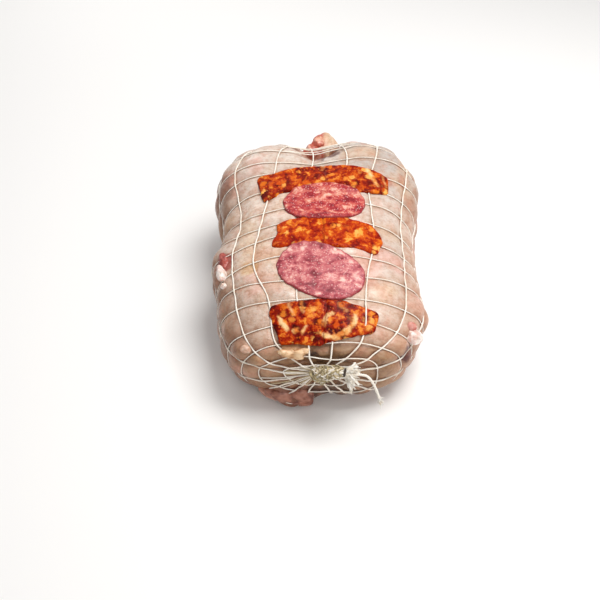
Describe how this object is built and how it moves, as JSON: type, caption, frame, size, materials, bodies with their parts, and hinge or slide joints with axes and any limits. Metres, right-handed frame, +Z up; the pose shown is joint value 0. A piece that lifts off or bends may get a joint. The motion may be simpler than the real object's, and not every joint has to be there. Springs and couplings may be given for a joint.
{
  "type": "stuffed chicken",
  "caption": "Raw boned chicken rolled round its stuffing in an elastic butcher's net, with strips of cured sausage and salami slices laid on top.",
  "frame": {"origin": "middle of the base of the whole object's bounding box, on the surface it rests on", "axes": "+Z up; +Y along the chicken, from the tied neck end at -Y to the tail at +Y; +X to the right as seen from the tied end"},
  "size_m": [0.1815, 0.2841, 0.1114],
  "materials": {
    "skin": "moist raw skin, satin",
    "net": "matt elastic yarn",
    "cured_sausage": "oily, satin",
    "salami": "moist, satin"
  },
  "bodies": {
    "root": {"chicken": "skin", "net": "net", "strip_back": "cured_sausage", "strip_middle": "cured_sausage", "strip_front": "cured_sausage", "salami_back": "salami", "salami_front": "salami"}
  },
  "joints": []
}
